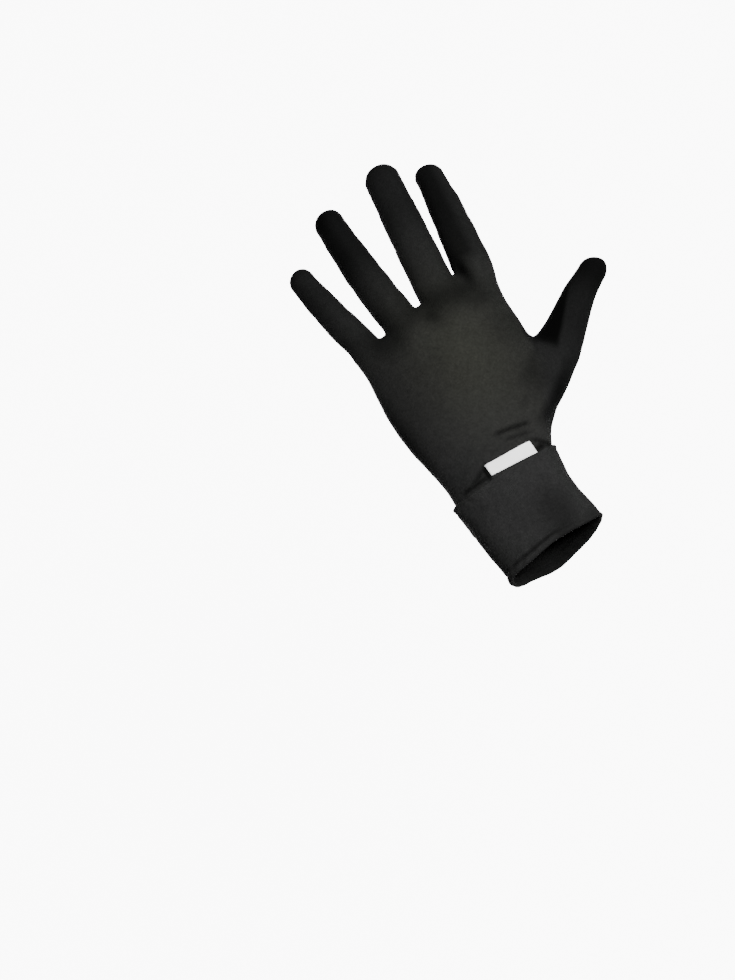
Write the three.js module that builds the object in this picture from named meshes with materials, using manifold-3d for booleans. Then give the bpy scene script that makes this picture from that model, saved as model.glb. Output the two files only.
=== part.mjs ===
// A thin knitted glove liner for the left hand, filled out as it is when worn.
// The hand, four finger tubes and thumb are one layer of fine knit, the cuff is a band of
// double cloth sewn round the wrist, and a small woven tag stands in the seam between them.
// Millimetres. The origin is the middle of the wrist seam. +Y runs from the forearm to the
// fingertips, +Z is the back of the hand and +X is the thumb's side.
import * as THREE from "three";
import { mergeVertices } from "three/addons/utils/BufferGeometryUtils.js";
import Module from "manifold-3d";

const wasm = await Module();
wasm.setup();

// Cloth
const knitWall = 1.2;
const cuffWall = 2.4;
const clearance = 0.3;

// Wrist, where the hand is sewn into the cuff
const wristWidth = 60.4;
const wristDepth = 38;
const seamLap = 6;
const seamTilt = -3.4;
const seamLean = -7.9;

// Palm, from the wrist seam to the web between the fingers. squareness is for its sections
// and the cuff's: 2 is an ellipse, and more fills the corners.
const palmLength = 109;
const palmDepth = 33;
const squareness = 2.3;
const littleEdge = 27.4;
const webTilt = 4.2;
const webMargin = 1.8;
const fingerRise = 3;

// Fingers, from the little finger to the index. length runs from the web to the tip,
// width and tipWidth across the finger, gap is the room to the next finger at the web,
// lean and bow carry the tip and the middle sideways, and fingerDroop carries the tip downwards.
const fingers = [
  { name: "little_finger", length: 62.6, width: 17.7, tipWidth: 14.4, gap: 4.2, lean: -5.9, bow: -1.2 },
  { name: "ring_finger", length: 81.4, width: 21.2, tipWidth: 17.2, gap: 3.9, lean: 1.2, bow: -1.35 },
  { name: "middle_finger", length: 85.2, width: 22.9, tipWidth: 19.6, gap: 1, lean: 10.2, bow: 0 },
  { name: "index_finger", length: 65, width: 21.2, tipWidth: 15.8, gap: 0, lean: 9.9, bow: 1.5 },
];
const fingerDroop = { little_finger: 9, ring_finger: 10, middle_finger: 11, index_finger: 10 };
const fingerFlatness = 0.86;
const rootSwell = 1.035;
const rootSink = 16;
const sinkTaper = 0.76;

// Thumb, from its base joint in the palm to its tip
const thumbLength = 114.5;
const thumbWidth = 22.2;
const thumbBase = new THREE.Vector3(22, 12, -5);
const thumbLean = 34.9;
const thumbDrop = 11.5;
const thumbRoot = 0.552;
const thumbRoom = 18;

// Cuff
const cuffLength = 50;
const hemWidth = 62;
const hemDepth = 44;
const hemTilt = 1;
const hemLean = 1.1;
const foldHeight = 2.6;
const hemRoll = 0.7;

// Tag
const tagLength = 27.6;
const tagWidth = 7.4;
const tagThickness = 0.8;
const tagX = 8.9;
const tagTilt = -6.2;
const tagLift = 1.1;

// Facets round each form
const palmSides = 40;
const fingerSides = 16;
const capSteps = 4;
const cuffSides = 40;

// Palm sections. along is a share of palmLength. left and right are shares of the breadth
// across the four finger roots, and top and bottom are shares of palmDepth. tilt is a share of webTilt.
const palmRows = [
  { along: 0.06, left: 0.302, right: 0.371, top: 0.53, bottom: 0.59, tilt: 0 },
  { along: 0.13, left: 0.297, right: 0.412, top: 0.52, bottom: 0.575, tilt: 0 },
  { along: 0.25, left: 0.31, right: 0.472, top: 0.505, bottom: 0.56, tilt: 0 },
  { along: 0.4, left: 0.328, right: 0.555, top: 0.505, bottom: 0.53, tilt: 0 },
  { along: 0.56, left: 0.33, right: 0.608, top: 0.515, bottom: 0.5, tilt: 0.2 },
  { along: 0.71, left: 0.306, right: 0.617, top: 0.53, bottom: 0.47, tilt: 0.6 },
  { along: 0.82, left: 0.288, right: 0.643, top: 0.5, bottom: 0.44, tilt: 0.9 },
  { along: 0.91, left: 0.277, right: 0.663, top: 0.42, bottom: 0.375, tilt: 1 },
  { along: 0.965, left: 0.268, right: 0.672, top: 0.3, bottom: 0.26, tilt: 1 },
  { along: 0.985, left: 0.24, right: 0.65, top: 0.18, bottom: 0.14, tilt: 1 },
];

// Finger sections. along is a share of the finger's length. taper goes from 0, the finger's
// width, to 1, its tipWidth, and swell widens what that gives.
const fingerRows = [
  { along: 0, taper: 0, swell: rootSwell },
  { along: 0.14, taper: 0.05, swell: 1.01 },
  { along: 0.32, taper: 0.16, swell: 1 },
  { along: 0.5, taper: 0.38, swell: 1 },
  { along: 0.68, taper: 0.68, swell: 1 },
];

// Thumb sections. along is a share of thumbLength. width, depth and offset are shares of
// thumbWidth, and offset is counted across the thumb towards the index finger.
const thumbRows = [
  { along: 0, width: 1.05, depth: 0.72, offset: 0.16 },
  { along: 0.19, width: 1.26, depth: 1.04, offset: 0.185 },
  { along: 0.33, width: 1.3, depth: 1.08, offset: 0.13 },
  { along: 0.45, width: 1.43, depth: 1.04, offset: 0.175 },
  { along: 0.5, width: 1.36, depth: 1, offset: 0.17 },
  { along: 0.54, width: 1.17, depth: 0.96, offset: 0.095 },
  { along: 0.62, width: 1.01, depth: 0.92, offset: 0.06 },
  { along: 0.79, width: 0.84, depth: 0.78, offset: 0.06 },
  { along: 0.875, width: 0.765, depth: 0.7, offset: 0.005 },
  { along: 0.925, width: 0.69, depth: 0.62, offset: -0.05 },
];
const thumbTipOffset = -0.1;

// Cuff sections. along is a share of cuffLength, left and right are shares of half
// hemWidth, and top and bottom of half hemDepth. fold swells the palm side by foldHeight,
// and roll swells the hem all round by hemRoll.
const cuffRows = [
  { along: 0.16, left: 1.035, right: 1.02, top: 0.91, bottom: 1.0, fold: 0.45, roll: 0 },
  { along: 0.26, left: 1.02, right: 0.985, top: 0.885, bottom: 1.0, fold: 1, roll: 0 },
  { along: 0.33, left: 1.02, right: 0.965, top: 0.87, bottom: 1.005, fold: 0.95, roll: 0 },
  { along: 0.37, left: 1.02, right: 0.955, top: 0.865, bottom: 1.01, fold: -0.2, roll: 0 },
  { along: 0.6, left: 1.015, right: 0.955, top: 0.86, bottom: 1.03, fold: 0, roll: 0 },
  { along: 0.82, left: 1.0, right: 0.985, top: 0.87, bottom: 1.07, fold: 0, roll: 0 },
  { along: 0.89, left: 0.995, right: 0.99, top: 0.875, bottom: 1.085, fold: 0, roll: -0.6 },
  { along: 0.95, left: 0.995, right: 0.985, top: 0.885, bottom: 1.085, fold: 0, roll: 1 },
  { along: 1, left: 1, right: 0.99, top: 0.89, bottom: 1.09, fold: 0, roll: 0 },
];

const radians = THREE.MathUtils.degToRad;
const handBreadth = fingers.reduce((sum, f) => sum + f.width * rootSwell + f.gap, 0);
const beyond = 40;

// A closed ring of points in a plane across Y, wider or deeper on one side than the other.
// tilt turns the plane across the hand and lean through it.
function crossRing({ y, left, right, top, bottom, tilt = 0, lean = 0, sides, swell = () => 0 }) {
  const ring = [];
  const power = 2 / squareness;
  const slope = Math.tan(radians(tilt));
  const rise = Math.tan(radians(lean));
  for (let i = 0; i < sides; i += 1) {
    const angle = (2 * Math.PI * i) / sides;
    const across = Math.sign(Math.cos(angle)) * Math.abs(Math.cos(angle)) ** power;
    const upward = Math.sign(Math.sin(angle)) * Math.abs(Math.sin(angle)) ** power;
    const extra = swell(angle);
    const middle = (right - left) / 2;
    const x = middle + across * ((left + right) / 2 + extra);
    const z = upward * ((upward > 0 ? top : bottom) + extra);
    ring.push(new THREE.Vector3(x, y + slope * x + rise * z, z));
  }
  return ring;
}

// A closed ring of points round a centre, in the plane of two directions.
function roundRing(centre, across, upward, halfWidth, halfDepth, sides) {
  const ring = [];
  for (let i = 0; i < sides; i += 1) {
    const angle = (2 * Math.PI * i) / sides;
    ring.push(
      centre
        .clone()
        .addScaledVector(across, halfWidth * Math.cos(angle))
        .addScaledVector(upward, halfDepth * Math.sin(angle)),
    );
  }
  return ring;
}

// One closed solid through rings of equally many points. Each end closes on its ring's
// middle, or on the tip given.
function loft(rings, tip = null) {
  const sides = rings[0].length;
  const middleOf = (ring) => ring.reduce((sum, p) => sum.add(p), new THREE.Vector3()).divideScalar(sides);
  const last = rings.length - 1;
  const points = [...rings.flat(), middleOf(rings[0]), tip ?? middleOf(rings[last])];
  const startTip = points.length - 2;
  const endTip = points.length - 1;
  const triangles = [];
  for (let i = 0; i < sides; i += 1) {
    const j = (i + 1) % sides;
    for (let k = 0; k < last; k += 1) {
      const a = k * sides;
      const b = a + sides;
      triangles.push([a + i, b + i, a + j], [a + j, b + i, b + j]);
    }
    triangles.push([startTip, i, j], [endTip, last * sides + j, last * sides + i]);
  }
  return solidFrom(points, triangles);
}

function solidFrom(points, triangles) {
  const make = (faces) =>
    new wasm.Manifold(
      new wasm.Mesh({
        numProp: 3,
        vertProperties: new Float32Array(points.flatMap((p) => [p.x, p.y, p.z])),
        triVerts: new Uint32Array(faces.flat()),
      }),
    );
  const made = make(triangles);
  return made.volume() > 0 ? made : make(triangles.map(([a, b, c]) => [a, c, b]));
}

// An upright block over a plan outline, tall enough to cut right through the glove.
function planBlock(outline) {
  const shape = new THREE.Shape(outline.map((p) => new THREE.Vector2(p.x, p.y)));
  const height = 4 * palmDepth;
  const block = new THREE.ExtrudeGeometry(shape, { depth: height, bevelEnabled: false });
  block.translate(0, 0, -height / 2);
  block.deleteAttribute("normal");
  block.deleteAttribute("uv");
  const merged = mergeVertices(block, 1e-4);
  const position = merged.getAttribute("position");
  const pointAt = (_, i) => new THREE.Vector3().fromBufferAttribute(position, i);
  const points = Array.from({ length: position.count }, pointAt);
  const triangles = [];
  for (let i = 0; i < merged.index.count; i += 3) {
    triangles.push([merged.index.getX(i), merged.index.getX(i + 1), merged.index.getX(i + 2)]);
  }
  return solidFrom(points, triangles);
}

// Height of the web line over the wrist seam at a place across the hand.
function webAt(x) {
  return palmLength + Math.tan(radians(webTilt)) * x;
}

// Fingers stand side by side across the web, each beside the one before it.
function placeFingers() {
  let edge = -littleEdge;
  for (const finger of fingers) {
    const half = (finger.width * rootSwell) / 2;
    finger.rootX = edge + half;
    finger.root = new THREE.Vector3(finger.rootX, webAt(finger.rootX), fingerRise);
    edge += 2 * half + finger.gap;
  }
}

// A point of a finger's centreline, at a share of its length.
function fingerPoint(finger, along, length = finger.length) {
  const lean = radians(finger.lean);
  const sideways = along * length * Math.sin(lean) + finger.bow * 4 * along * (1 - along);
  return new THREE.Vector3(
    finger.root.x + sideways,
    finger.root.y + along * length * Math.cos(lean),
    finger.root.z - fingerDroop[finger.name] * along * Math.abs(along),
  );
}

// The finger's own directions there: along it, across it and up through its back.
function fingerFrame(finger, along) {
  const step = 0.01;
  const forward = fingerPoint(finger, along + step).sub(fingerPoint(finger, along - step)).normalize();
  const across = new THREE.Vector3(forward.y, -forward.x, 0).normalize();
  return { forward, across, upward: new THREE.Vector3().crossVectors(across, forward) };
}

// A finger's outside, or its inside where inset is the wall.
function fingerSolid(finger, inset) {
  const length = finger.length - inset;
  const cap = finger.tipWidth / 2 - inset;
  const straight = 1 - cap / length;
  const rings = [];
  const addRing = (along, width) => {
    const { across, upward } = fingerFrame(finger, along);
    const centre = fingerPoint(finger, along, length);
    const half = width / 2 - inset;
    const depth = (width / 2) * fingerFlatness - inset;
    rings.push(roundRing(centre, across, upward, half, depth, fingerSides));
  };
  addRing(-rootSink / finger.length, finger.width * sinkTaper);
  for (const row of fingerRows) {
    addRing(row.along, THREE.MathUtils.lerp(finger.width, finger.tipWidth, row.taper) * row.swell);
  }
  for (let i = 0; i < capSteps; i += 1) {
    const turn = (i / capSteps) * (Math.PI / 2);
    const half = (finger.tipWidth / 2 - inset) * Math.cos(turn) + inset;
    addRing(straight + (1 - straight) * Math.sin(turn), 2 * half);
  }
  return loft(rings, fingerPoint(finger, 1, length));
}

// The thumb's outside, or its inside where inset is the wall.
function thumbSolid(inset) {
  const lean = radians(thumbLean);
  const forward = new THREE.Vector3(Math.cos(lean), Math.sin(lean), 0);
  const across = new THREE.Vector3(-Math.sin(lean), Math.cos(lean), 0);
  const length = thumbLength - inset;
  const pointAt = (along, offset) =>
    thumbBase
      .clone()
      .addScaledVector(forward, along * length)
      .addScaledVector(across, offset * thumbWidth)
      .add(new THREE.Vector3(0, 0, -thumbDrop * along));
  const upward = new THREE.Vector3(0, 0, 1);
  const rings = thumbRows.map((row) => {
    const half = (row.width * thumbWidth) / 2 - inset;
    const depth = (row.depth * thumbWidth) / 2 - inset;
    return roundRing(pointAt(row.along, row.offset), across, upward, half, depth, fingerSides);
  });
  const end = thumbRows[thumbRows.length - 1];
  for (let i = 1; i <= capSteps - 1; i += 1) {
    const turn = (i / capSteps) * (Math.PI / 2);
    const along = end.along + (1 - end.along) * Math.sin(turn);
    const offset = THREE.MathUtils.lerp(end.offset, thumbTipOffset, Math.sin(turn) ** 2);
    const half = ((end.width * thumbWidth) / 2 - inset) * Math.cos(turn);
    const depth = ((end.depth * thumbWidth) / 2 - inset) * Math.cos(turn);
    rings.push(roundRing(pointAt(along, offset), across, upward, half, depth, fingerSides));
  }
  return loft(rings, pointAt(1, thumbTipOffset));
}

// The hand's half sizes at the wrist seam, and those of the cuff that goes over it.
const wristHalf = {
  left: wristWidth / 2 - 0.3,
  right: wristWidth / 2 + 0.3,
  top: wristDepth * 0.475,
  bottom: wristDepth * 0.525,
};
const cuffTopHalf = grown(wristHalf, clearance + cuffWall);

function grown(half, by) {
  return { left: half.left + by, right: half.right + by, top: half.top + by, bottom: half.bottom + by };
}

// The cuff's own section at a row of its table.
function cuffHalf(row) {
  return {
    left: (row.left * hemWidth) / 2,
    right: (row.right * hemWidth) / 2,
    top: (row.top * hemDepth) / 2,
    bottom: (row.bottom * hemDepth) / 2,
  };
}

// The palm's outside, or its inside where inset is the wall, open below the wrist seam.
function palmSolid(inset) {
  const lapShare = seamLap / cuffLength;
  const firstRow = cuffRows[0];
  const tailOuter = {};
  for (const side of ["left", "right", "top", "bottom"]) {
    const share = lapShare / firstRow.along;
    const cuffThere = THREE.MathUtils.lerp(cuffTopHalf[side], cuffHalf(firstRow)[side], share);
    tailOuter[side] = Math.min(cuffThere - cuffWall - clearance, wristHalf[side]);
  }
  const sections = [
    { y: -seamLap, tilt: seamTilt, lean: seamLean, ...tailOuter },
    { y: 0, tilt: seamTilt, lean: seamLean, ...wristHalf },
    ...palmRows.map((row) => ({
      y: row.along * palmLength,
      tilt: row.tilt * webTilt,
      left: row.left * handBreadth,
      right: row.right * handBreadth,
      top: row.top * palmDepth,
      bottom: row.bottom * palmDepth,
    })),
  ];
  if (inset > 0) sections.unshift({ ...sections[0], y: -seamLap - beyond / 4 });
  const reach = inset > 0 ? palmLength - inset : palmLength;
  const rings = sections.map((s) =>
    crossRing({ ...s, ...grown(s, -inset), y: s.y > 0 ? (s.y * reach) / palmLength : s.y, sides: palmSides }),
  );
  return loft(rings);
}

// Plan corners of the fingers' roots: left of the little finger, in each gap, right of the index.
function rootCorners() {
  const corners = [];
  const edgeOf = (finger, along, side) => {
    const row = fingerRows[0];
    const { across } = fingerFrame(finger, along);
    const width = along > 0 ? finger.tipWidth : finger.width * row.swell;
    return fingerPoint(finger, along).addScaledVector(across, (side * width) / 2);
  };
  const first = fingers[0];
  const last = fingers[fingers.length - 1];
  const outward = (finger, side) => {
    const x = edgeOf(finger, 0, side).x + side * beyond;
    const base = new THREE.Vector3(x, webAt(x) + webMargin, 0);
    return { base, heading: new THREE.Vector3(0, 1, 0) };
  };
  corners.push(outward(first, -1));
  for (let i = 0; i + 1 < fingers.length; i += 1) {
    const [a, b] = [fingers[i], fingers[i + 1]];
    const reach = Math.min(a.length, b.length);
    const base = edgeOf(a, 0, 1).add(edgeOf(b, 0, -1)).multiplyScalar(0.5);
    const far = edgeOf(a, reach / a.length, 1).add(edgeOf(b, reach / b.length, -1)).multiplyScalar(0.5);
    base.y = webAt(base.x) + webMargin;
    corners.push({ base, heading: far.sub(base).setZ(0).normalize() });
  }
  corners.push(outward(last, 1));
  return corners;
}

// The block that holds one finger and nothing else.
function fingerCell(corners, index) {
  const reach = 1.5 * fingers[index].length;
  const side = new THREE.Vector3(clearance / 2, 0, 0);
  const left = corners[index].base.clone().add(side);
  const right = corners[index + 1].base.clone().sub(side);
  const farRight = right.clone().addScaledVector(corners[index + 1].heading, reach);
  const farLeft = left.clone().addScaledVector(corners[index].heading, reach);
  return planBlock([left, right, farRight, farLeft]);
}

// Everything past the finger roots, less the clearance, which the hand is cut back from.
function fingersZone(corners) {
  const longest = Math.max(...fingers.map((f) => f.length));
  const line = corners.map((c) => c.base.clone().setY(c.base.y - clearance));
  const farRight = line[line.length - 1].clone().setY(line[line.length - 1].y + 2 * longest);
  const farLeft = line[0].clone().setY(line[0].y + 2 * longest);
  return planBlock([...line, farRight, farLeft]);
}

// The block that holds the free part of the thumb, or one that starts earlier by ease.
function thumbCell(ease) {
  const lean = radians(thumbLean);
  const forward = new THREE.Vector3(Math.cos(lean), Math.sin(lean), 0);
  const across = new THREE.Vector3(-Math.sin(lean), Math.cos(lean), 0);
  const corner = (along, sideways) =>
    thumbBase.clone().addScaledVector(forward, along).addScaledVector(across, sideways).setZ(0);
  const start = thumbRoot * thumbLength - ease;
  const end = thumbLength + beyond;
  const outline = [
    corner(start, -beyond),
    corner(end, -beyond),
    corner(end, thumbRoom),
    corner(start, thumbRoom),
  ];
  return planBlock(outline);
}

// The knitted hand as one hollow shell, then parted at the finger roots and the thumb's root.
function handPieces() {
  placeFingers();
  const formOf = (inset) =>
    fingers
      .map((finger) => fingerSolid(finger, inset))
      .reduce((sum, solid) => sum.add(solid), palmSolid(inset))
      .add(thumbSolid(inset));
  const shell = formOf(0).subtract(formOf(knitWall));
  const corners = rootCorners();
  const pieces = { hand: shell.subtract(fingersZone(corners)).subtract(thumbCell(clearance)) };
  fingers.forEach((finger, index) => {
    pieces[finger.name] = shell.intersect(fingerCell(corners, index));
  });
  pieces.thumb = shell.intersect(thumbCell(0));
  return pieces;
}

// The cuff: a tube over the hand's lower end, with a soft fold across its palm side and a rolled hem.
function cuffSolid() {
  const palmSide = (angle) => Math.max(0, -Math.sin(angle)) ** 0.8;
  const sections = [
    { y: 0, tilt: seamTilt, lean: seamLean, fold: 0, roll: 0, ...cuffTopHalf },
    ...cuffRows.map((row) => ({
      y: -row.along * cuffLength,
      tilt: THREE.MathUtils.lerp(seamTilt, hemTilt, row.along),
      lean: THREE.MathUtils.lerp(seamLean, hemLean, row.along),
      fold: row.fold,
      roll: row.roll,
      ...cuffHalf(row),
    })),
  ];
  const ringOf = (section, inset, extra) =>
    crossRing({
      ...section,
      ...grown(section, -inset),
      sides: cuffSides,
      swell: (angle) => extra * (section.fold * foldHeight * palmSide(angle) + section.roll * hemRoll),
    });
  const outer = sections.map((section) => ringOf(section, 0, 1));
  const inner = sections.map((section) => ringOf(section, cuffWall, 1));
  const above = ringOf({ ...sections[0], y: beyond / 8 }, cuffWall, 0);
  const below = ringOf({ ...sections[sections.length - 1], y: -cuffLength - beyond / 8 }, cuffWall, 0);
  return loft(outer).subtract(loft([above, ...inner, below]));
}

// Height of the back of the hand over a place near the wrist.
function backAt(x, y) {
  const first = palmRows[0];
  const t = THREE.MathUtils.clamp(y / (first.along * palmLength), 0, 1);
  const left = THREE.MathUtils.lerp(wristHalf.left, first.left * handBreadth, t);
  const right = THREE.MathUtils.lerp(wristHalf.right, first.right * handBreadth, t);
  const top = THREE.MathUtils.lerp(wristHalf.top, first.top * palmDepth, t);
  const across = (x - (right - left) / 2) / ((left + right) / 2);
  return top * (1 - Math.abs(across) ** squareness) ** (1 / squareness);
}

// The tag: a strip of folded tape that stands in the seam and leans on the back of the hand.
function tagSolid() {
  const columns = 8;
  const rows = 3;
  const slope = Math.tan(radians(tagTilt));
  const seamSlope = Math.tan(radians(seamTilt));
  const seamRise = Math.tan(radians(seamLean));
  const startY = clearance + Math.max(0, (seamSlope - slope) * (tagLength / 2));
  const point = (i, j, height) => {
    const x = tagX + tagLength * (i / columns - 0.5);
    const seamY = seamSlope * tagX + slope * (x - tagX) + seamRise * backAt(x, 0);
    const y = startY + seamY + (tagWidth * j) / rows;
    const lift = clearance + (tagLift * j) / rows + height;
    return new THREE.Vector3(x, y, backAt(x, y) + lift);
  };
  const rings = [];
  for (let i = 0; i <= columns; i += 1) {
    const under = Array.from({ length: rows + 1 }, (_, j) => point(i, j, 0));
    const over = Array.from({ length: rows + 1 }, (_, j) => point(i, rows - j, tagThickness));
    rings.push([...under, ...over]);
  }
  return loft(rings);
}

// Finishes
const knit = { color: 0x232322, roughness: 0.95 };
const band = { color: 0x262625, roughness: 0.93 };
const tape = { color: 0xf1f1ee, roughness: 0.7 };

function meshOf(name, solid, finish) {
  const { numProp, vertProperties, triVerts } = solid.getMesh();
  const position = new Float32Array((vertProperties.length / numProp) * 3);
  for (let i = 0; i < position.length / 3; i += 1) {
    for (let k = 0; k < 3; k += 1) position[3 * i + k] = vertProperties[numProp * i + k];
  }
  const geometry = new THREE.BufferGeometry();
  geometry.setAttribute("position", new THREE.BufferAttribute(position, 3));
  geometry.setIndex(new THREE.BufferAttribute(new Uint32Array(triVerts), 1));
  geometry.computeVertexNormals();
  const material = new THREE.MeshStandardMaterial({ ...finish, metalness: 0 });
  const mesh = new THREE.Mesh(geometry, material);
  mesh.name = name;
  return mesh;
}

const glove = new THREE.Group();
for (const [name, solid] of Object.entries(handPieces())) {
  glove.add(meshOf(name, solid, knit));
}
glove.add(meshOf("cuff", cuffSolid(), band));
glove.add(meshOf("tag", tagSolid(), tape));

export default glove;
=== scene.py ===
"""A thin knitted glove liner in the shape it takes on a hand, seen as in a product picture."""

import math

import bpy
import numpy as np
from mathutils import Matrix, Vector


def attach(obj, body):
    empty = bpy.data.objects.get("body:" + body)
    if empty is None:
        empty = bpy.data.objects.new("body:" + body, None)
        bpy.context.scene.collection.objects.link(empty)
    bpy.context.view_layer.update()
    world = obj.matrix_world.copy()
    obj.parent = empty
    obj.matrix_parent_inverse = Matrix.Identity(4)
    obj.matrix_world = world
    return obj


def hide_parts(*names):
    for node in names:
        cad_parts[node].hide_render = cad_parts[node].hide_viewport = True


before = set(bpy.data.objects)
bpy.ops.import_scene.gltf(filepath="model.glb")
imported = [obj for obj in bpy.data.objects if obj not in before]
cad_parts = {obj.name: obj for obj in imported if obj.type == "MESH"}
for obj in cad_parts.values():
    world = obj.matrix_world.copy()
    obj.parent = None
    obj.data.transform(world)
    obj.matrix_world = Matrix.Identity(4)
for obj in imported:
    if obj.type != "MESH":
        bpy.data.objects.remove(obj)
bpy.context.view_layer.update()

MM = 0.001

# Sizes in millimetres, in the part's own frame. NET_STEP is the size of a face of the knit's mesh
KNIT_WALL = 1.1
CUFF_WALL = 2.3
NET_STEP = 1.15
WRIST = dict(left=29.9, right=32.4, top=18.05, bottom=19.95)
SEAM_TILT, SEAM_LEAN = -3.4, -7.9
HEM_TILT, HEM_LEAN = 1.0, 1.1
PALM_LENGTH, PALM_DEPTH, BREADTH = 109.6, 33.0, 96.4
WEB_LENGTH = 106.8
WEB_SLOPE = math.tan(math.radians(4.2))
CUFF_LENGTH, HEM_WIDTH, HEM_DEPTH = 50.0, 62.0, 44.0
SECTION_POWER = 2.3

# Fingers: root x, y and z, length, width at the root and near the tip, lean in degrees,
# sideways bow and downward droop
FINGER_COLUMNS = ("root", "length", "width", "tip", "lean", "bow", "droop")
FINGER_ROWS = {
    "little": ((-18.2, 108.4, 3.0), 63.6, 17.6, 14.6, -5.7, -1.2, 9.0),
    "ring": ((6.3, 110.2, 3.0), 81.4, 21.2, 16.9, 1.45, -1.45, 10.0),
    "middle": ((33.2, 112.1, 3.0), 85.2, 22.6, 19.8, 10.3, -0.2, 11.0),
    "index": ((57.1, 113.8, 3.0), 66.0, 20.9, 15.9, 11.1, 1.0, 10.0),
}
FINGERS = {name: dict(zip(FINGER_COLUMNS, row)) for name, row in FINGER_ROWS.items()}
FINGER_FLATNESS = 0.86

# How far the rounded lower ends of the fingers and the thumb reach into the hand
FINGER_SINK, THUMB_SINK = 20.0, 12.0

# Box round the knit, open towards the cuff, and how far the weave is stretched over its sides
NET_LOW, NET_HIGH = (-37.0, -7.2, -34.0), (126.0, 202.0, 26.0)
SIDE_SHIFT = 0.62

# Places across the hand of the crotches between the fingers
CROTCHES = (-7.0, 20.0, 46.5)

# Finger sections: share of the length, and how far the width has gone from root to tip
FINGER_TAPER = [
    (0.0, -0.08),
    (0.14, 0.04),
    (0.32, 0.16),
    (0.5, 0.38),
    (0.68, 0.68),
    (0.88, 1.0),
    (1.0, 1.0),
]

# Sections of the knit under the cuff: y, left, right, top and bottom in millimetres
SLEEVE_ROWS = [
    (-14.0, 28.6, 29.4, 17.2, 19.0),
    (-6.0, 29.2, 29.7, 17.6, 19.5),
    (-3.0, 29.5, 30.2, 17.8, 19.7),
]

# Palm sections: share of the palm's length, then left, right (shares of the breadth), top
# and bottom (shares of the depth)
PALM_ROWS = [
    (0.06, 0.304, 0.370, 0.53, 0.59),
    (0.13, 0.299, 0.414, 0.52, 0.575),
    (0.25, 0.312, 0.475, 0.505, 0.56),
    (0.40, 0.330, 0.558, 0.505, 0.53),
    (0.56, 0.332, 0.612, 0.515, 0.50),
    (0.71, 0.308, 0.621, 0.53, 0.47),
    (0.82, 0.290, 0.647, 0.50, 0.44),
    (0.91, 0.273, 0.667, 0.42, 0.375),
    (0.965, 0.263, 0.674, 0.32, 0.27),
    (1.0, 0.255, 0.676, 0.24, 0.19),
]

# Between these places along the hand the palm's sections turn to the slope of the line of
# crotches
WEB_TURN = (50, 100)

# Thumb: base, lean, length and drop, and its sections as share of the length, half width, half
# depth and offset towards the index finger. Then the length of its rounded tip, and how far
# that turns away from the index finger
THUMB_BASE, THUMB_LEAN, THUMB_LENGTH, THUMB_DROP = (22.0, 12.0, -5.0), 34.9, 114.5, 11.5
THUMB_ROWS = [
    (0.00, 11.6, 8.0, 3.6),
    (0.19, 14.0, 11.5, 4.1),
    (0.33, 14.4, 12.0, 2.9),
    (0.45, 14.6, 11.5, 2.6),
    (0.54, 12.9, 10.7, 1.9),
    (0.62, 11.3, 10.2, 1.35),
    (0.79, 9.25, 8.7, 1.2),
    (0.875, 8.25, 7.8, -0.15),
    (0.925, 7.8, 7.0, -1.1),
]
THUMB_CAP, THUMB_TIP_TURN = 8.6, 1.1

# How softly forms run into each other: finger into finger, thumb into palm, finger into palm,
# and the palm's sides into its far end
FINGER_BLEND, THUMB_BLEND, ROOT_BLEND, PALM_END_BLEND = 0.8, 9.0, 6.5, 5.0

# Crotches: how much less soft that is there, how far across they reach, and where along the
# hand this begins and is full
CROTCH_BLEND, CROTCH_REACH, CROTCH_Y = 4.3, 7.0, (98, 109)

# Stage, in metres: height and reach of the floor, middle of its glow and where that fades out
FLOOR_LEVEL, FLOOR_REACH = -0.85, 60.0
GLOW_MIDDLE, GLOW_FADE = (-0.063, 0.31), (0.57, 0.85)

# Brightness of the floor's glowing middle, a painted pool of light, of the floor farther out and of
# the room above, and how high over the horizon the room has turned dim
FLOOR_GLOW, BACKDROP, ROOM, HORIZON = 9.5, 0.75, 0.07, 0.22

# Lamps: name, place and diameter in metres, and power. All shine on LAMP_TARGET
LAMPS = [("key", (0.5, -0.15, 1.3), 0.5, 52), ("top", (0.1, -0.1, 1.6), 0.8, 8)]
LAMP_TARGET = (0.03, 0.06, 0)

# Camera: place in metres, angle over the horizon and turn about its own axis in degrees, lens
# and sensor in millimetres
CAMERA_PLACE, CAMERA_HEIGHT, CAMERA_TURN = (-0.063411, -0.40839, 1.423675), 72.5, 36
CAMERA_LENS, CAMERA_SENSOR = 100, 36

# Cloth colours: the knit, a lighter and warmer painted highlight over the middle of the back, the
# cuff and the tape of the tag. SHADE_LEFT is what is left of the knit's dark tone at full painted shade
KNIT_DARK, KNIT_LIGHT = (0.0058, 0.0059, 0.0059, 1), (0.0208, 0.0209, 0.0208, 1)
PAINTED_HIGHLIGHT_DARK, PAINTED_HIGHLIGHT_LIGHT = (0.0078, 0.008, 0.0066, 1), (0.0256, 0.0263, 0.022, 1)
CUFF_LIGHT = (0.0222, 0.0223, 0.022, 1)
TAPE_WHITE, TAPE_SOILED = (0.94, 0.94, 0.93, 1), (0.78, 0.78, 0.77, 1)
SHADE_LEFT = 0.12

# Middle and reach, across and along the hand, of the painted highlight
PAINTED_HIGHLIGHT_MIDDLE, PAINTED_HIGHLIGHT_REACH = (25, 68), (37, 52)

# Width and height of a stitch of the jersey, spacing of the seam's stitches, and spacing of the
# tape's warp and weft, in millimetres
STITCH_WIDTH, STITCH_HEIGHT, SEAM_STITCH = 0.92, 0.74, 2.2
WARP, WEFT = 0.34, 0.42
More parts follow.
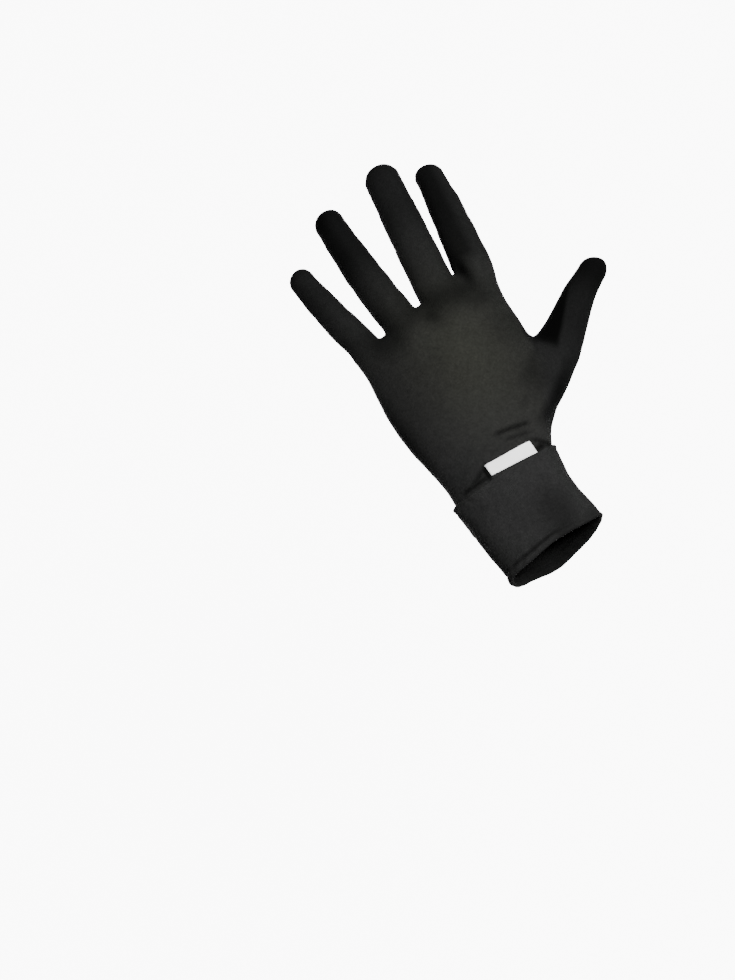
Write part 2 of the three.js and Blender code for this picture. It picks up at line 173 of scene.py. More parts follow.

# Painted shade on each finger: how much darker it is made all along, more over its upper half,
# more at its tip, more on the side away from the light, and where that side begins, as a share of the half
# width
FINGER_SHADE = {
    "little": (0.36, 0.12, 0.16, 0.1, 0.15),
    "ring": (0.35, 0.38, 0.12, 0.15, 0.2),
    "middle": (0.28, 0.26, 0.1, 0.05, 0.1),
    "index": (0.44, 0.05, 0.0, 0.34, 0.75),
}

# Soft areas of painted shade on the back of the hand: x, y, reach along x and y, amount
SHADE_AREAS = [
    (46.0, 96.0, 14.0, 8.0, 0.5),
    (49.0, 87.0, 9.0, 6.0, 0.4),
    (26.0, 102.0, 23.0, 7.5, 0.48),
    (37.0, 96.0, 10.0, 7.0, 0.22),
    (50.0, 66.0, 12.0, 16.0, 0.3),
    (-9.0, 100.0, 12.0, 11.0, 0.58),
    (50.5, 109.0, 4.0, 9.0, 0.85),
    (-17.0, 62.0, 22.0, 45.0, 0.28),
    (-34.0, 44.0, 7.5, 44.0, 0.85),
    (43.0, 33.0, 12.0, 13.0, 0.3),
]

# About how high the back of the hand and its knuckles lie, how far down the areas of painted shade
# and the hollows reach below that, and how far from the sides creases have faded in
BACK_Z, KNUCKLE_Z, AREA_DEPTH, HOLLOW_DEPTH, CREASE_FADE = 12.0, 15.0, 30.0, 8.0, 6

# Hollows behind the crotches, on the back of the hand: x, y, half width, half length, depth.
# The hollows are also darkened with painted shade
DIPS = [
    (-4.0, 99.0, 6.0, 9.5, 1.9),
    (21.2, 98.0, 6.5, 9.5, 2.2),
    (48.0, 104.0, 3.8, 9.0, 2.8),
]

# Knuckles: x, y and height of a soft bump, and its reach along x, y and z
KNUCKLES = [(-16.0, 91.0, 0.7), (8.0, 94.0, 0.9), (32.0, 96.0, 1.0), (53.0, 96.0, 0.9)]
KNUCKLE_SIZE = (8.0, 10.0, 12.0)

# Slow unevenness of the cloth: height, length of the waves and seed
UNEVENNESS = [(0.22, 34.0, 3), (0.1, 12.0, 5)]

# Puckers across a finger, at its joints and tip: share of its length and depth
PUCKERS = [(0.36, 0.22), (0.40, 0.16), (0.66, 0.16), (0.7, 0.2), (0.93, 0.22)]
PUCKER_WIDTH = 1.0

# Raised seam along the sides of the fingers: half width and height
SEAM_WIDTH, SEAM_HEIGHT = 0.8, 0.25

# Fine creases on the back of the hand: one end, the other end, depth and half width. They are
# also darkened with painted shade; the last two, at the ends of the tag, are small dents with painted
# shadow
BACK_CREASES = [
    ((12.3, 17.7), (26.0, 14.2), 0.85, 1.1),
    ((15.0, 11.6), (23.5, 9.4), 0.6, 0.9),
    ((26.0, 3.2), (30.5, -1.0), 0.8, 1.1),
    ((-20.5, 2.4), (-7.0, 0.6), 0.9, 1.3),
    ((-14.0, 3.0), (-5.6, 6.4), 0.7, 1.6),
    ((33.0, 24.0), (44.0, 31.0), 0.35, 2.2),
    ((-6.6, 0.6), (-6.3, 5.0), 1.1, 1.2),
    ((24.2, -1.4), (26.0, -0.8), 1.0, 1.2),
]

# Softer creases on the palm side, in the same columns
PALM_CREASES = [
    ((36.0, 22.0), (26.0, 66.0), 1.1, 2.6),
    ((-24.0, 70.0), (22.0, 84.0), 0.7, 2.4),
    ((22.0, 64.0), (52.0, 86.0), 0.6, 2.4),
    ((-20.0, 9.0), (14.0, 6.0), 0.6, 1.6),
]

# How far creases fade out past their ends, and how wide and how high their lips are
BACK_FADE, BACK_LIP, BACK_LIP_HEIGHT = 3.0, 3.2, 0.45
PALM_FADE, PALM_LIP, PALM_LIP_HEIGHT = 8.0, 2.6, 0.4

# Cuff sections: share of the length, then left, right (shares of half the hem's width), top
# and bottom (shares of half its depth)
CUFF_ROWS = [
    (0.00, 1.052, 1.082, 0.943, 1.03),
    (0.16, 1.035, 1.02, 0.91, 1.0),
    (0.26, 1.02, 0.985, 0.885, 1.0),
    (0.33, 1.02, 0.965, 0.87, 1.005),
    (0.60, 1.015, 0.955, 0.86, 1.03),
    (0.82, 1.0, 0.98, 0.87, 1.075),
    (0.95, 0.995, 0.99, 0.885, 1.10),
    (1.00, 1.0, 1.0, 0.89, 1.11),
]

# Low relief of the cuff: place as a share of its length, reach along it and height. Then how
# far the soft fold on the palm side bulges
HEM_ROLL, HEM_GROOVE = (0.968, 0.028, 0.85), (0.915, 0.013, -1.2)
TOP_GROOVE, FOLD_LIP = (0.055, 0.012, -0.5), (0.375, 0.02, -0.7)
FOLD_BULGE = 2.6

# Half depths over and under the middle of the plain section that the cuff's points follow
GIRTH_DEPTHS = (19.5, 23.0)

# Where the hem hangs lower on the palm side: x, reach and amount
HEM_SAGS = [(19, 13, 1.9), (-27, 6, 1.3), (-5, 16, 1.6)]

# Painted shade on the cuff's front: amount, angle round the cuff, reach, and where along the
# cuff it begins and is full
CUFF_SHADES = [
    (0.3, 0.6, 0.45, 0.8, 0.97),
    (0.5, 1.15, 0.42, 0.1, 0.7),
    (0.9, 3.08, 0.44, -0.2, 0.6),
]

# Tag: length, width and thickness, its middle along x, the height at which it meets the seam,
# its slope in degrees and its distance from the seam
TAG_LENGTH, TAG_WIDTH, TAG_THICKNESS = 27.6, 7.2, 0.7
TAG_X, TAG_Z, TAG_SLOPE, TAG_OFF_SEAM = 8.9, 17.6, -6.4, 0.9


def smooth_curve(xs, ys, at):
    """Smooth values at places between the rows of a table, without overshooting them."""
    xs, ys = np.asarray(xs, float), np.asarray(ys, float)
    gap = np.diff(xs)
    slope = np.diff(ys) / gap
    tangent = np.zeros(len(xs))
    tangent[0], tangent[-1] = slope[0], slope[-1]
    same = slope[:-1] * slope[1:] > 0
    tangent[1:-1][same] = 2 * slope[:-1][same] * slope[1:][same] / (slope[:-1][same] + slope[1:][same])
    fine = np.linspace(xs[0], xs[-1], 400)
    k = np.clip(np.searchsorted(xs, fine, "right") - 1, 0, len(xs) - 2)
    t = (fine - xs[k]) / gap[k]
    values = (
        (2 * t**3 - 3 * t**2 + 1) * ys[k]
        + (t**3 - 2 * t**2 + t) * gap[k] * tangent[k]
        + (-2 * t**3 + 3 * t**2) * ys[k + 1]
        + (t**3 - t**2) * gap[k] * tangent[k + 1]
    )
    return np.interp(at, fine, values)


def step(low, high, value):
    """A smooth step from 0 at low to 1 at high, which may be the smaller of the two."""
    t = np.clip((value - low) / (high - low), 0, 1)
    return t * t * (3 - 2 * t)


def bell(at, middle, reach):
    """A soft bump over one coordinate: 1 at its middle."""
    return np.exp(-(((at - middle) / reach) ** 2))


def soft_min(a, b, k):
    """The smaller of two distances, rounded over k where they are alike."""
    h = np.clip(0.5 + 0.5 * (b - a) / k, 0, 1)
    return b * (1 - h) + a * h - k * h * (1 - h)


def soft_max(a, b, k):
    """The larger of two distances, rounded the same way."""
    return -soft_min(-a, -b, k)


def ellipsoid(a, ra, b, rb, end, rc):
    """Distance to an elliptical tube or its rounded end. end is 0 in the tube and 1 at the tip."""
    k0 = np.sqrt((a / ra) ** 2 + (b / rb) ** 2 + end**2) + 1e-6
    k1 = np.sqrt((a / ra**2) ** 2 + (b / rb**2) ** 2 + (end / rc) ** 2) + 1e-6
    return k0 * (k0 - 1) / k1


def finger_axes(p, f):
    """How far points lie along a finger from its root, and across it towards the thumb."""
    lean = math.radians(f["lean"])
    x, y = p[..., 0] - f["root"][0], p[..., 1] - f["root"][1]
    along = x * math.sin(lean) + y * math.cos(lean)
    return along, x * math.cos(lean) - y * math.sin(lean)


def thumb_axes(p):
    """Share of the thumb's length at which points lie, and how far across it to the index finger."""
    lean = math.radians(THUMB_LEAN)
    x, y = p[..., 0] - THUMB_BASE[0], p[..., 1] - THUMB_BASE[1]
    along = x * math.cos(lean) + y * math.sin(lean)
    return along / THUMB_LENGTH, -x * math.sin(lean) + y * math.cos(lean)


def finger_field(p, f):
    """Distance to a finger, with the height over its middle and its half depth."""
    along, across = finger_axes(p, f)
    s = along / f["length"]
    bow = f["bow"] * 4 * s * (1 - s) * (s > 0)
    a = across - bow
    b = p[..., 2] - f["root"][2] + f["droop"] * s * np.abs(s)
    cap = f["tip"] / 2
    straight = 1 - cap / f["length"]
    share, taper = zip(*FINGER_TAPER)
    tapered = smooth_curve(share, taper, np.clip(s, 0, straight))
    ra = (f["width"] + (f["tip"] - f["width"]) * tapered) / 2
    rb = ra * FINGER_FLATNESS
    over = np.clip(s - straight, 0, None) * f["length"]
    under = np.clip(-s, 0, None) * f["length"]
    end = np.where(over > 0, over / cap, under / FINGER_SINK)
    rc = np.where(over > 0, cap, FINGER_SINK)
    return ellipsoid(a, ra, b, rb, end, rc), b, rb


def thumb_field(p):
    """Distance to the thumb, with the height over its middle and its half depth."""
    s, across = thumb_axes(p)
    rows = np.array(THUMB_ROWS)
    last = rows[-1, 0]
    at = np.clip(s, 0, last)
    ra, rb, offset = (smooth_curve(rows[:, 0], rows[:, i], at) for i in (1, 2, 3))
    tip = np.clip((s - last) / (1 - last), 0, 1.2)
    offset = offset - THUMB_TIP_TURN * tip**2
    a = across - offset
    b = p[..., 2] - THUMB_BASE[2] + THUMB_DROP * s
    over = np.clip(s - last, 0, None) * THUMB_LENGTH
    under = np.clip(-s, 0, None) * THUMB_LENGTH
    end = np.where(over > 0, over / THUMB_CAP, under / THUMB_SINK)
    rc = np.where(over > 0, THUMB_CAP, THUMB_SINK)
    return ellipsoid(a, ra, b, rb, end, rc), b, rb


def palm_table():
    """All the palm's sections in millimetres: y, left, right, top and bottom."""
    rows = [*SLEEVE_ROWS, (0.0, *WRIST.values())]
    for share, left, right, top, bottom in PALM_ROWS:
        width, depth = (left * BREADTH, right * BREADTH), (top * PALM_DEPTH, bottom * PALM_DEPTH)
        rows.append((share * PALM_LENGTH, *width, *depth))
    return np.array(rows)


PALM_TABLE = palm_table()


def palm_field(p):
    """Distance to the flat round sections of the hand, with the height and the half depth."""
    x, z = p[..., 0], p[..., 2]
    y = p[..., 1] - WEB_SLOPE * x * step(*WEB_TURN, p[..., 1])
    at = np.clip(y, PALM_TABLE[0, 0], PALM_LENGTH)
    left, right, top, bottom = (
        smooth_curve(PALM_TABLE[:, 0], PALM_TABLE[:, i], at) for i in (1, 2, 3, 4)
    )
    a = (x - (right - left) / 2) / ((left + right) / 2)
    rz = np.where(z > 0, top, bottom)
    b = z / rz
    n = SECTION_POWER
    k = (np.abs(a) ** n + np.abs(b) ** n + 1e-9) ** (1 / n)
    grad_a = (np.abs(a) / k) ** (n - 1) / ((left + right) / 2)
    grad_b = (np.abs(b) / k) ** (n - 1) / rz
    section = (k - 1) / np.sqrt(grad_a**2 + grad_b**2 + 1e-8)
    return soft_max(section, y - WEB_LENGTH, PALM_END_BLEND), z, rz


def blob(p, at, size):
    """A soft bump, 1 at its middle. size is its reach along x, y and z."""
    return np.exp(-sum(((p[..., i] - at[i]) / size[i]) ** 2 for i in range(3)))


def crease(p, a, b, width, fade):
    """A soft line over the hand from a to b: 1 on the line."""
    a, b = np.array(a, float), np.array(b, float)
    along = b - a
    length = np.linalg.norm(along)
    along = along / length
    rel = p[..., :2] - a
    t = rel @ along
    off = rel[..., 0] * along[1] - rel[..., 1] * along[0]
    ends = np.clip(np.maximum(-t, t - length), 0, None) / fade
    return np.exp(-((off / width) ** 2) - ends**2)


def waves(p, scale, seed):
    """Slow unevenness from a few sine waves, about -1 to 1."""
    rng = np.random.default_rng(seed)
    total = 0
    for _ in range(7):
        direction = rng.normal(size=3)
        direction /= np.linalg.norm(direction)
        length = scale * rng.uniform(0.7, 1.5)
        phase = rng.uniform(0, 6.3)
        total = total + np.sin(p @ (direction * 2 * math.pi / length) + phase)
    return total / 3.2


def cloth_relief(p):
    """How far the cloth stands out from the plain form, in millimetres."""
    back, palm = (step(0, side * CREASE_FADE, p[..., 2]) for side in (1, -1))
    out = sum(h * waves(p, length, seed) for h, length, seed in UNEVENNESS)
    for x, y, h in KNUCKLES:
        out = out + h * blob(p, (x, y, KNUCKLE_Z), KNUCKLE_SIZE)
    for x, y, wide, long, h in DIPS:
        out = out - h * blob(p, (x, y, BACK_Z), (wide, long, HOLLOW_DEPTH))
    for creases, side, fade, lip_width, lip_height in (
        (BACK_CREASES, back, BACK_FADE, BACK_LIP, BACK_LIP_HEIGHT),
        (PALM_CREASES, palm, PALM_FADE, PALM_LIP, PALM_LIP_HEIGHT),
    ):
        for a, b, h, w in creases:
            line, lip = crease(p, a, b, w, fade), crease(p, a, b, lip_width * w, fade)
            out = out - side * h * (line - lip_height * lip)
    return out


def finger_puckers(along, length):
    """Small crossways creases of the cloth at a finger's joints and tip."""
    out = 0
    for at, h in PUCKERS:
        out = out - h * np.exp(-(((along / length - at) * length / PUCKER_WIDTH) ** 2))
    return out


def glove_field(p):
    """Distance to the whole glove, with the height over the middle and the half depth there."""
    parts = [finger_field(p, f) for f in FINGERS.values()]
    fingers = parts[0][0]
    for part in parts[1:]:
        fingers = soft_min(fingers, part[0], FINGER_BLEND)
    palm, thumb = palm_field(p), thumb_field(p)
    hand = soft_min(palm[0], thumb[0], THUMB_BLEND)
    crotch = np.clip(sum(bell(p[..., 0], x, CROTCH_REACH) for x in CROTCHES), 0, 1)
    blend = ROOT_BLEND - CROTCH_BLEND * step(*CROTCH_Y, p[..., 1] - WEB_SLOPE * p[..., 0]) * crotch
    whole = soft_min(hand, fingers, blend)
    pieces = [*parts, palm, thumb]
    weights = [np.exp(-np.clip(part[0] - whole, 0, 40) / 1.5) for part in pieces]
    total = sum(weights)
    over = sum(w * part[1] for w, part in zip(weights, pieces)) / total
    depth = sum(w * part[2] for w, part in zip(weights, pieces)) / total
    return whole, over, depth


def relief_field(p):
    """Distance to the glove with its creases, hollows, puckers and seams."""
    whole, over, _ = glove_field(p)
    out = cloth_relief(p)
    for f in FINGERS.values():
        along, across = finger_axes(p, f)
        near = 1 - step(f["width"] * 0.5, f["width"] * 0.62, np.abs(across))
        out = out + near * step(10, 20, along) * finger_puckers(along, f["length"])
    seam = np.exp(-((over / SEAM_WIDTH) ** 2)) * SEAM_HEIGHT
    return whole - out * step(-5, 0, p[..., 1]) - seam


def quad_sides(quads):
    """The two point numbers of each side of each quad, the lower one first."""
    return np.sort(np.concatenate([quads[:, [i, (i + 1) % 4]] for i in range(4)]), axis=1)


def surface_net(field, origin, size):
    """Quads round the part of a grid where the field is negative, left open at the grid's sides."""
    inside = field < 0
    shape = np.array(field.shape)
    corners = [(i, j, k) for i in (0, 1) for j in (0, 1) for k in (0, 1)]

    def corner(values, c):
        return values[c[0] : shape[0] - 1 + c[0], c[1] : shape[1] - 1 + c[1], c[2] : shape[2] - 1 + c[2]]

    count = sum(corner(inside, c).astype(np.int8) for c in corners)
    active = (count > 0) & (count < 8)
    cells = np.argwhere(active)
    number = np.full(active.shape, -1, np.int64)
    number[tuple(cells.T)] = np.arange(len(cells))
    total, hits = np.zeros((len(cells), 3)), np.zeros(len(cells))
    for a in corners:
        for axis in range(3):
            if a[axis]:
                continue
            b = list(a)
            b[axis] = 1
            fa = field[tuple((cells + a).T)]
            fb = field[tuple((cells + b).T)]
            crossed = (fa < 0) != (fb < 0)
            t = np.where(crossed, fa / np.where(crossed, fa - fb, 1), 0)
            point = np.array(a, float)[None, :] + t[:, None] * np.eye(3)[axis]
            total += crossed[:, None] * point
            hits += crossed
    points = origin + (cells + total / hits[:, None]) * size
    quads = []
    for axis in range(3):
        u, v = [(1, 2), (2, 0), (0, 1)][axis]
        low = [slice(None)] * 3
        high = [slice(None)] * 3
        low[axis], high[axis] = slice(0, shape[axis] - 1), slice(1, shape[axis])
        change = inside[tuple(low)].astype(np.int8) - inside[tuple(high)].astype(np.int8)
        edges = np.argwhere(change != 0)
        within = [(edges[:, i] > 0) & (edges[:, i] < shape[i] - 1) for i in (u, v)]
        edges = edges[within[0] & within[1]]
        sign = change[tuple(edges.T)]
        du, dv = np.eye(3, dtype=int)[u], np.eye(3, dtype=int)[v]
        around = ((1, 1), (0, 1), (0, 0), (1, 0))
        ring = np.stack([number[tuple((edges - du * i - dv * j).T)] for i, j in around], 1)
        ring = np.where(sign[:, None] > 0, ring, ring[:, ::-1])
        quads.append(ring)
    return points, np.concatenate(quads)


def settle(points, quads, field, rounds, fixed):
    """Evens the net out and puts its points back on the surface. Returns points and normals."""
    edges = np.unique(quad_sides(quads), axis=0)
    degree = np.bincount(edges.ravel(), minlength=len(points)).astype(float)

    def slope(at):
        e = 0.25
        parts = [field(at + e * np.eye(3)[i]) - field(at - e * np.eye(3)[i]) for i in range(3)]
        return np.stack(parts, 1) / (2 * e)

    for _ in range(rounds):
        mean = np.zeros_like(points)
        for i in range(3):
            mean[:, i] = (
                np.bincount(edges[:, 0], points[edges[:, 1], i], len(points))
                + np.bincount(edges[:, 1], points[edges[:, 0], i], len(points))
            ) / degree
        moved = points + 0.5 * (mean - points)
        moved[fixed] = points[fixed]
        g = slope(moved)
        size = (g**2).sum(1) + 1e-6
        moved = moved - np.clip(field(moved) / size, -0.8, 0.8)[:, None] * g
        moved[fixed, 1] = points[fixed, 1]
        points = moved
    g = slope(points)
    return points, g / np.linalg.norm(g, axis=1)[:, None]


def boundary_points(quads, count):
    """Which points lie on an open edge of the net."""
    unique, uses = np.unique(quad_sides(quads), axis=0, return_counts=True)
    mark = np.zeros(count, bool)
    mark[unique[uses == 1].ravel()] = True
    return mark


def build_mesh(name, points, faces, uv, attributes=None):
    """A smooth-shaded mesh from points in millimetres, with the weave's place on the cloth as UV."""
    mesh = bpy.data.meshes.new(name)
    mesh.from_pydata((points * MM).tolist(), [], faces.tolist())
    mesh.shade_smooth()
    layer = mesh.uv_layers.new(name="cloth")
    corner = np.zeros(len(mesh.loops), np.int64)
    mesh.loops.foreach_get("vertex_index", corner)
    layer.data.foreach_set("uv", uv[corner].astype(np.float32).ravel())
    for key, values in (attributes or {}).items():
        layer = mesh.attributes.new(key, "FLOAT", "POINT")
        layer.data.foreach_set("value", values.astype(np.float32))
    obj = bpy.data.objects.new(name, mesh)
    bpy.context.scene.collection.objects.link(obj)
    return obj


class Graph:
    """Short ways to add and join shader nodes."""

    def __init__(self, name):
        self.material = bpy.data.materials.new(name)
        self.material.use_nodes = True
        self.tree = self.material.node_tree
        self.bsdf = self.tree.nodes["Principled BSDF"]

    def node(self, kind, **settings):
        n = self.tree.nodes.new(kind)
        for key, value in settings.items():
            setattr(n, key, value)
        return n

    def put(self, socket, value):
        if hasattr(value, "links"):
            self.tree.links.new(value, socket)
        else:
            socket.default_value = value

    def math(self, operation, *values, clamp=False):
        n = self.node("ShaderNodeMath", operation=operation, use_clamp=clamp)
        for socket, value in zip(n.inputs, values):
            self.put(socket, value)
        return n.outputs[0]

    def mix(self, factor, a, b):
        n = self.node("ShaderNodeMix", data_type="RGBA")
        for socket, value in ((n.inputs[0], factor), (n.inputs[6], a), (n.inputs[7], b)):
            self.put(socket, value)
        return n.outputs[2]

    def noise(self, vector, scale, detail, roughness=0.5):
        n = self.node("ShaderNodeTexNoise")
        self.put(n.inputs["Vector"], vector)
        n.inputs["Scale"].default_value = scale
        n.inputs["Detail"].default_value = detail
        n.inputs["Roughness"].default_value = roughness
        return n.outputs["Fac"]

    def attribute(self, name):
        return self.node("ShaderNodeAttribute", attribute_name=name).outputs["Fac"]

    def bump(self, height, distance, strength):
        n = self.node("ShaderNodeBump")
        n.inputs["Strength"].default_value = strength
        n.inputs["Distance"].default_value = distance
        self.put(n.inputs["Height"], height)
        return n.outputs["Normal"]


def knit_material(name, dark, light, skin):
    """Fine jersey: columns of small V stitches, with heathered fibre and a soft overall tone, darkened by
    painted shade and, on the hand, lightened by a painted highlight.
    """
    g = Graph(name)
    uv = g.node("ShaderNodeUVMap", uv_map="cloth").outputs[0]
    split = g.node("ShaderNodeSeparateXYZ")
    g.put(split.inputs[0], uv)
    place = g.node("ShaderNodeTexCoord").outputs["Object"]
    drift = g.math("MULTIPLY", g.math("SUBTRACT", g.noise(place, 60.0, 2.0), 0.5), 0.9)
    across = g.math("DIVIDE", g.math("ADD", split.outputs[0], drift), STITCH_WIDTH)
    along = g.math("DIVIDE", g.math("ADD", split.outputs[1], drift), STITCH_HEIGHT)
    saw = g.math("ABSOLUTE", g.math("SUBTRACT", g.math("FRACT", across), 0.5))
    leg = g.math("SINE", g.math("MULTIPLY", saw, 2 * math.pi))
    phase = g.math("ADD", along, g.math("MULTIPLY", saw, 1.1))
    yarn = g.math("MULTIPLY_ADD", g.math("COSINE", g.math("MULTIPLY", phase, 2 * math.pi)), 0.5, 0.5)
    stitch = g.math("MULTIPLY", leg, g.math("MULTIPLY_ADD", yarn, 0.6, 0.4))
    fibre = g.noise(place, 3200.0, 2.0, 0.7)
    fleck = g.noise(place, 900.0, 3.0, 0.6)
    mottle = g.noise(place, 330.0, 2.0, 0.6)
    broad = g.noise(place, 30.0, 3.0, 0.5)
    tone = 0.45
    for pattern, middle, amount in (
        (fleck, 0.5, 0.75),
        (mottle, 0.5, 0.45),
        (broad, 0.5, 0.5),
        (fibre, 0.5, 0.25),
        (stitch, 0.4, 0.3),
    ):
        tone = g.math("ADD", g.math("MULTIPLY", g.math("SUBTRACT", pattern, middle), amount), tone)
    tone.node.use_clamp = True
    colour = g.mix(tone, dark, light)
    if skin:
        # Painted highlight: a lighter, warmer tone over the middle of the back
        colour = g.mix(g.attribute("painted_highlight"), colour, g.mix(tone, PAINTED_HIGHLIGHT_DARK, PAINTED_HIGHLIGHT_LIGHT))
    # Painted shade: the knit is mixed towards its darkest tone where the shade mark says
    deepest = (*(SHADE_LEFT * channel for channel in dark[:3]), 1.0)
    colour = g.mix(g.attribute("shade"), colour, deepest)
    g.put(g.bsdf.inputs["Base Color"], colour)
    g.bsdf.inputs["Roughness"].default_value = 0.95
    g.bsdf.inputs["Specular IOR Level"].default_value = 0.03
    height = g.math("ADD", stitch, g.math("MULTIPLY", fibre, 0.4))
    height = g.math("ADD", height, g.math("MULTIPLY", mottle, 0.9))
    if skin:
        seam = g.math("ABSOLUTE", g.attribute("seam"))
        stitches = g.math("SINE", g.math("MULTIPLY", split.outputs[1], 2 * math.pi / SEAM_STITCH))
        ridge = g.math("SUBTRACT", 1.0, g.math("DIVIDE", seam, 1.1), clamp=True)
        ridge = g.math("MULTIPLY", ridge, g.math("MULTIPLY_ADD", stitches, 0.35, 1.0))
        at_side = g.math("MULTIPLY", g.attribute("side"), 1.6)
        height = g.math("ADD", height, g.math("MULTIPLY", ridge, at_side))
    g.put(g.bsdf.inputs["Normal"], g.bump(height, 0.00022, 0.75))
    return g.material


def tape_material():
    """White woven tape, very slightly soiled."""
    g = Graph("tag tape")
    uv = g.node("ShaderNodeUVMap", uv_map="cloth").outputs[0]
    split = g.node("ShaderNodeSeparateXYZ")
    g.put(split.inputs[0], uv)
    warp = g.math("SINE", g.math("MULTIPLY", split.outputs[0], 2 * math.pi / WARP))
    weft = g.math("SINE", g.math("MULTIPLY", split.outputs[1], 2 * math.pi / WEFT))
    weave = g.math("MULTIPLY", warp, weft)
    place = g.node("ShaderNodeTexCoord").outputs["Object"]
    soil = g.noise(place, 160.0, 3.0)
    tone = g.math("MULTIPLY_ADD", weave, 0.12, g.math("MULTIPLY", soil, 0.5), clamp=True)
    g.put(g.bsdf.inputs["Base Color"], g.mix(tone, TAPE_WHITE, TAPE_SOILED))
    g.bsdf.inputs["Roughness"].default_value = 0.55
    g.bsdf.inputs["Specular IOR Level"].default_value = 0.35
    g.put(g.bsdf.inputs["Normal"], g.bump(weave, 0.00006, 0.6))
    return g.material


def finger_shade(points):
    """Painted shade on the fingers: how much darker they are made all along, at their ends and on the side
    away from the light.
    """
    shade = np.zeros(len(points))
    for name, f in FINGERS.items():
        along, across = finger_axes(points, f)
        s, across = along / f["length"], across / (f["width"] / 2)
        near = 1 - step(1.02, 1.25, np.abs(across))
        all_along, upper, tip, strip, start = FINGER_SHADE[name]
        amount = all_along * step(-0.25, 0.05, s) + upper * step(0.2, 0.6, s) + tip * step(0.75, 1.0, s)
        amount = amount + strip * step(start, start - 0.65, across) * step(-0.12, 0.05, s)
        shade = np.maximum(shade, near * amount)
    return shade


def thumb_shade(points):
    """Painted shade on the thumb: how much darker it is made towards its end, and more on the side towards
    the index finger.
    """
    s, across = thumb_axes(points)
    reach = 8 + 9 * step(0.42, 0.5, s)
    near = step(0.2, 0.34, s) * (1 - step(reach, reach + 5, across))
    amount = 0.32 + 0.32 * step(0.34, 0.62, s) + 0.26 * step(0.72, 0.92, s)
    border = 23 * (s - 0.47) - 1
    web_side = 0.45 * step(border - 2, border + 2, across) * step(0.455, 0.5, s)
    return near * (amount + web_side * (1 - 0.7 * step(0.7, 0.9, s)))


def thumb_base_shade(points):
    """Painted shade on the outer side of the thumb's base: how much darker it is made."""
    s, across = thumb_axes(points)
    along = step(0.04, 0.16, s) * (1 - step(0.26, 0.56, s))
    return 0.8 * step(-3.5, -9.0, across) * along * step(24, 30, points[:, 0])


def skin_shade(points):
    """Painted shade on the knit, from 0 to 1: on the fingers and thumb, in the soft areas, hollows and
    creases.
    """
    shade = np.maximum(finger_shade(points), thumb_shade(points))
    shade = shade + thumb_base_shade(points) * (1 - shade)
    above, side_too = (step(low, high, points[:, 2]) for low, high in ((-2, 6), (-12, 1)))
    for x, y, wide, long, amount in SHADE_AREAS:
        area = blob(points, (x, y, BACK_Z), (wide, long, AREA_DEPTH))
        shade = shade + amount * side_too * area * (1 - shade)
    for x, y, wide, long, _ in DIPS:
        hollow = blob(points, (x, y, BACK_Z), (wide, long, AREA_DEPTH))
        shade = np.maximum(shade, 0.6 * above * hollow)
    for a, b, h, w in BACK_CREASES:
        line = crease(points, a, b, 1.2 * w, BACK_FADE)
        shade = np.maximum(shade, 0.85 * h * above * line)
    return np.clip(shade, 0, 1)


def make_skin():
    """The knitted hand, fingers and thumb: one continuous layer of cloth."""
    size = NET_STEP * 1.0
    low, high = np.array(NET_LOW), np.array(NET_HIGH)
    counts = np.ceil((high - low) / size).astype(int) + 1
    axes = [low[i] + size * np.arange(counts[i]) for i in range(3)]
    values = np.empty(tuple(counts))
    for i, x in enumerate(axes[0]):
        slab = np.stack(np.meshgrid([x], axes[1], axes[2], indexing="ij"), -1)[0]
        values[i] = glove_field(slab)[0]
    points, quads = surface_net(values, low, size)
    rim = boundary_points(quads, len(points))
    points[rim, 1] = low[1] + 0.5
    points, normal = settle(points, quads, relief_field, 5, rim)
    _, over, depth = glove_field(points)
    flat = np.linalg.norm(normal[:, :2], axis=1)
    shift = SIDE_SHIFT * np.clip(depth - np.abs(over), 0, None) * step(0.35, 0.95, flat)
    uv = points[:, :2] + shift[:, None] * normal[:, :2] / (flat[:, None] + 1e-6)
    # Painted highlight over the middle of the back, on its upper side only
    (highlight_x, highlight_y), (reach_x, reach_y) = PAINTED_HIGHLIGHT_MIDDLE, PAINTED_HIGHLIGHT_REACH
    painted_highlight = bell(points[:, 0], highlight_x, reach_x) * bell(points[:, 1], highlight_y, reach_y)
    painted_highlight = painted_highlight * step(0, 8, points[:, 2])
    # The shade mark holds the painted shade from skin_shade
    marks = {"seam": over, "side": step(0.6, 0.9, flat), "shade": skin_shade(points), "painted_highlight": painted_highlight}
    obj = build_mesh("glove_skin", points, quads, uv, marks)
    solid = obj.modifiers.new("wall", "SOLIDIFY")
    solid.thickness = KNIT_WALL * MM
    solid.offset = -1
    return obj


def section_ring(angle, left, right, top, bottom, squareness=SECTION_POWER):
    """Points of a section of the cuff: x and z at each angle round it."""
    power = 2 / squareness
    c, s = np.cos(angle), np.sin(angle)
    x = (right - left) / 2 + np.sign(c) * np.abs(c) ** power * (left + right) / 2
    z = np.sign(s) * np.abs(s) ** power * np.where(s > 0, top, bottom)
    return x, z


def even_angles(count):
    """Angles that space the points of a section like the cuff's evenly, and its length round."""
    fine = np.linspace(0, 2 * math.pi, 4001)
    x, z = section_ring(fine, HEM_WIDTH / 2, HEM_WIDTH / 2, *GIRTH_DEPTHS)
    length = np.concatenate([[0], np.cumsum(np.hypot(np.diff(x), np.diff(z)))])
    return np.interp(np.linspace(0, length[-1], count, endpoint=False), length, fine), length[-1]


